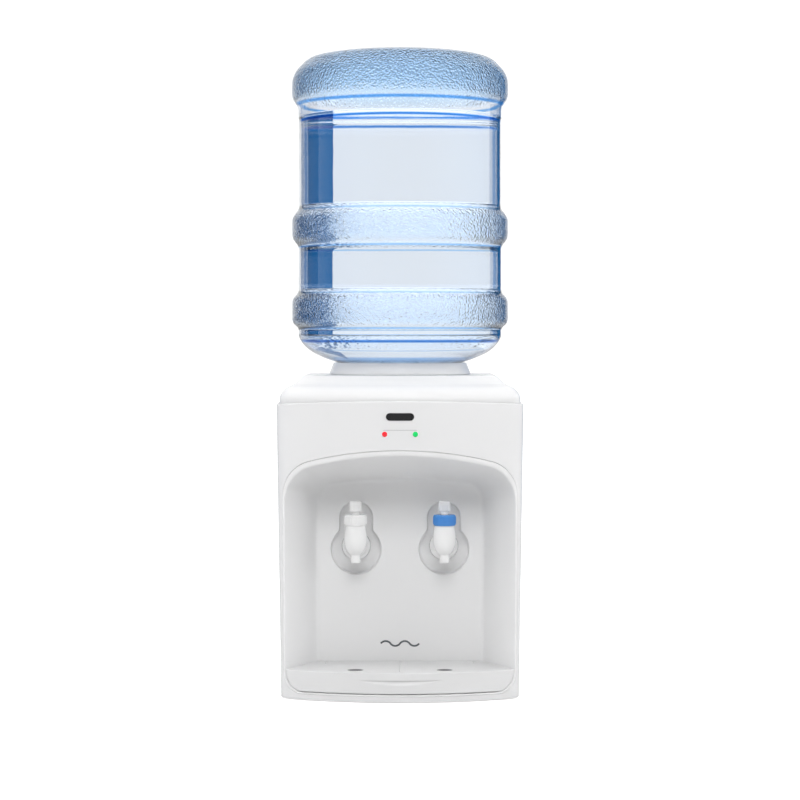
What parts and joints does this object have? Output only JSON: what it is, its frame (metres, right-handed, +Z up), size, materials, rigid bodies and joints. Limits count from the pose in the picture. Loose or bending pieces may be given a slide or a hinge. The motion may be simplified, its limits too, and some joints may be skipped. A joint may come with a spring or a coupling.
{
  "type": "countertop water dispenser",
  "caption": "Countertop water dispenser with an inverted blue bottle, recessed alcove, lever taps and a pull-out drip tray.",
  "frame": {"origin": "centre of the bounding box in plan, on the surface that the feet stand on", "axes": "+Z up, front faces -Y, +X to the right seen from the front"},
  "size_m": [0.3016, 0.3, 0.7984],
  "materials": {
    "cabinet_white": "glossy",
    "alcove_white": "satin",
    "tap_white": "glossy",
    "tap_blue": "glossy",
    "bottle_blue": "glossy",
    "cap_white": "satin",
    "badge_black": "satin",
    "print_grey": "matte",
    "led_red": "glossy",
    "led_green": "glossy",
    "board_green": "satin",
    "rubber": "matte",
    "silicone": "satin",
    "foam": "matte",
    "aluminium": "satin",
    "ceramic_white": "matte",
    "black_plastic": "satin",
    "steel": "polished",
    "copper_core": "satin",
    "tank_white": "satin"
  },
  "bodies": {
    "cabinet": {"alcove_liner": "alcove_white", "base_plate": "cabinet_white", "board_capacitors": "black_plastic", "board_standoffs": "tap_white", "cold_block": "aluminium", "cold_water_hose": "silicone", "drain_hose": "silicone", "drain_spigot": "tank_white", "fan_frame": "black_plastic", "fan_screws": "steel", "front_badge": "badge_black", "front_fascia": "cabinet_white", "green_indicator": "led_green", "heat_sink": "aluminium", "indicator_board": "board_green", "left_foam_half": "foam", "left_side_panel": "cabinet_white", "left_tap_body": "tap_white", "left_tap_bonnet": "tap_white", "lever_pins": "steel", "peltier_module": "ceramic_white", "power_board": "board_green", "power_inlet": "black_plastic", "rear_panel": "cabinet_white", "rear_screws": "steel", "red_indicator": "led_red", "reservoir": "tank_white", "right_foam_half": "foam", "right_side_panel": "cabinet_white", "right_tap_body": "tap_white", "right_tap_bonnet": "tap_blue", "room_water_hose": "silicone", "rubber_feet": "rubber", "separator_disc": "tank_white", "spring_seats": "tap_white", "switch_frame": "black_plastic", "tap_gaskets": "rubber", "tap_nuts": "tap_white", "top_cover": "cabinet_white", "transformer": "copper_core", "wave_mark": "print_grey"},
    "bottle": {"bottle": "bottle_blue", "bottle_cap": "cap_white"},
    "bottle_seat": {"bottle_collar": "cabinet_white", "feed_probe": "tap_white"},
    "drain_cap": {"drain_cap": "cap_white"},
    "drip_grid": {"drip_grid": "alcove_white"},
    "drip_tray": {"drip_tray": "alcove_white"},
    "fan_rotor": {"fan_rotor": "black_plastic"},
    "left_tap_lever": {"left_tap_lever": "tap_white"},
    "left_tap_stem": {"left_tap_seal": "silicone", "left_tap_spring": "steel", "left_tap_stem": "tap_white"},
    "right_tap_lever": {"right_tap_lever": "tap_white"},
    "right_tap_stem": {"right_tap_seal": "silicone", "right_tap_spring": "steel", "right_tap_stem": "tap_white"},
    "switch_rocker": {"switch_rocker": "black_plastic"}
  },
  "joints": [
    {"name": "bottle_seat_lift", "type": "slide", "parent": "cabinet", "child": "bottle_seat", "axis": [0, 0, 1], "range_m": [0, 0.095]},
    {"name": "bottle_lift", "type": "slide", "parent": "bottle_seat", "child": "bottle", "axis": [0, 0, 1], "range_m": [0, 0.1]},
    {"name": "drip_tray_pull", "type": "slide", "parent": "cabinet", "child": "drip_tray", "axis": [0, -1, 0], "range_m": [0, 0.115]},
    {"name": "drip_grid_lift", "type": "slide", "parent": "drip_tray", "child": "drip_grid", "axis": [0, 0, 1], "range_m": [0, 0.03]},
    {"name": "fan_spin", "type": "hinge", "parent": "cabinet", "child": "fan_rotor", "pos_m": [0, 0.1167, 0.256], "axis": [0, 1, 0], "continuous": true},
    {"name": "drain_cap_pull", "type": "slide", "parent": "cabinet", "child": "drain_cap", "axis": [0, 1, 0], "range_m": [0, 0.02]},
    {"name": "mains_switch_rock", "type": "hinge", "parent": "cabinet", "child": "switch_rocker", "pos_m": [0.07, 0.137, 0.06], "axis": [0, 0, 1], "range_deg": [-16, 0]},
    {"name": "left_stem_rise", "type": "slide", "parent": "cabinet", "child": "left_tap_stem", "axis": [0, 0, 1], "range_m": [0, 0.00372], "stiffness_N_per_m": 200, "springref_m": -0.004},
    {"name": "left_tap_press", "type": "hinge", "parent": "cabinet", "child": "left_tap_lever", "pos_m": [-0.055, -0.066, 0.2145], "axis": [-1, 0, 0], "range_deg": [0, 22]},
    {"name": "right_stem_rise", "type": "slide", "parent": "cabinet", "child": "right_tap_stem", "axis": [0, 0, 1], "range_m": [0, 0.00372], "stiffness_N_per_m": 200, "springref_m": -0.004},
    {"name": "right_tap_press", "type": "hinge", "parent": "cabinet", "child": "right_tap_lever", "pos_m": [0.055, -0.066, 0.2145], "axis": [-1, 0, 0], "range_deg": [0, 22]}
  ],
  "couplings": [
    {"joint": "left_tap_press", "follows": "left_stem_rise", "rad_per_m": 103.1},
    {"joint": "right_tap_press", "follows": "right_stem_rise", "rad_per_m": 103.1}
  ]
}
